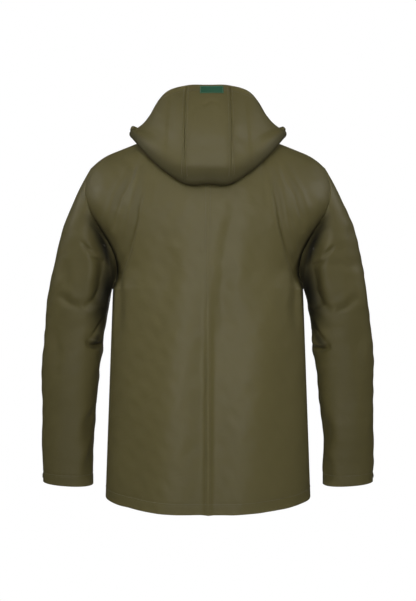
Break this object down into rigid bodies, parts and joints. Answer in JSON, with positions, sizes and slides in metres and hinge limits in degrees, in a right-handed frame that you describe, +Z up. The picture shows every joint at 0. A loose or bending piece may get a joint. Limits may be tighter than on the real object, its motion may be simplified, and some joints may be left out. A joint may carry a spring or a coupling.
{
  "type": "hooded rain jacket",
  "caption": "Hip-length hooded rain jacket in coated olive fabric, with a three-panel hood, front zip, flap pockets and snapped cuffs, worn on the upper body.",
  "frame": {"origin": "middle of the flat underside of the hanging loop inside the back neck", "axes": "+Z up, the front of the jacket faces -Y, the wearer's left is +X"},
  "size_m": [0.7268, 0.3105, 0.8702],
  "materials": {
    "coated_fabric": "smooth satin coated olive fabric",
    "lining_fabric": "matt woven lining",
    "woven_label": "woven green label without text",
    "zip_tape": "woven zip tape",
    "zip_metal": "brushed nickel",
    "snap_metal": "polished nickel"
  },
  "bodies": {
    "jacket": {"back_panel_left": "coated_fabric", "back_panel_right": "coated_fabric", "collar_inner": "lining_fabric", "collar_outer": "coated_fabric", "cuff_facing_left": "coated_fabric", "cuff_facing_right": "coated_fabric", "cuff_snap_cap_left": "snap_metal", "cuff_snap_cap_right": "snap_metal", "cuff_snap_stud_left": "snap_metal", "cuff_snap_stud_right": "snap_metal", "front_panel_left": "coated_fabric", "front_panel_right": "coated_fabric", "hanging_loop": "coated_fabric", "hem_facing_back_left": "coated_fabric", "hem_facing_back_right": "coated_fabric", "hem_facing_front_left": "coated_fabric", "hem_facing_front_right": "coated_fabric", "hood_centre_panel": "coated_fabric", "hood_eyelet_left": "snap_metal", "hood_eyelet_right": "snap_metal", "hood_lining": "lining_fabric", "hood_patch": "woven_label", "hood_side_panel_left": "coated_fabric", "hood_side_panel_right": "coated_fabric", "lining_back_left": "lining_fabric", "lining_back_right": "lining_fabric", "lining_front_left": "lining_fabric", "lining_front_right": "lining_fabric", "neck_label": "woven_label", "pocket_bag_left": "lining_fabric", "pocket_bag_right": "lining_fabric", "pocket_snap_stud_left": "snap_metal", "pocket_snap_stud_right": "snap_metal", "sleeve_left": "coated_fabric", "sleeve_lining_left": "lining_fabric", "sleeve_lining_right": "lining_fabric", "sleeve_right": "coated_fabric", "zip_bottom_box": "zip_metal", "zip_placket": "coated_fabric", "zip_tape_left": "zip_tape", "zip_tape_right": "zip_tape", "zip_teeth_left": "zip_metal", "zip_teeth_right": "zip_metal", "zip_top_stop_left": "zip_metal", "zip_top_stop_right": "zip_metal"},
    "zip_slider": {"zip_slider": "zip_metal"},
    "zip_puller": {"zip_puller": "zip_metal"},
    "pocket_flap_left": {"pocket_flap_left": "coated_fabric", "pocket_snap_cap_left": "snap_metal"},
    "pocket_flap_right": {"pocket_flap_right": "coated_fabric", "pocket_snap_cap_right": "snap_metal"}
  },
  "joints": [
    {"name": "zip_travel", "type": "slide", "parent": "jacket", "child": "zip_slider", "axis": [0, -0.0777, -0.997], "range_m": [0, 0.696]},
    {"name": "zip_puller_swing", "type": "hinge", "parent": "zip_slider", "child": "zip_puller", "pos_m": [0, -0.1514, -0.04488], "axis": [-1, 0, 0], "range_deg": [0, 150]},
    {"name": "pocket_flap_left_lift", "type": "hinge", "parent": "jacket", "child": "pocket_flap_left", "pos_m": [0.1205, -0.176, -0.574], "axis": [-0.94, -0.3412, 0], "range_deg": [0, 120]},
    {"name": "pocket_flap_right_lift", "type": "hinge", "parent": "jacket", "child": "pocket_flap_right", "pos_m": [-0.1205, -0.176, -0.574], "axis": [-0.94, 0.3412, 0], "range_deg": [0, 120]}
  ]
}
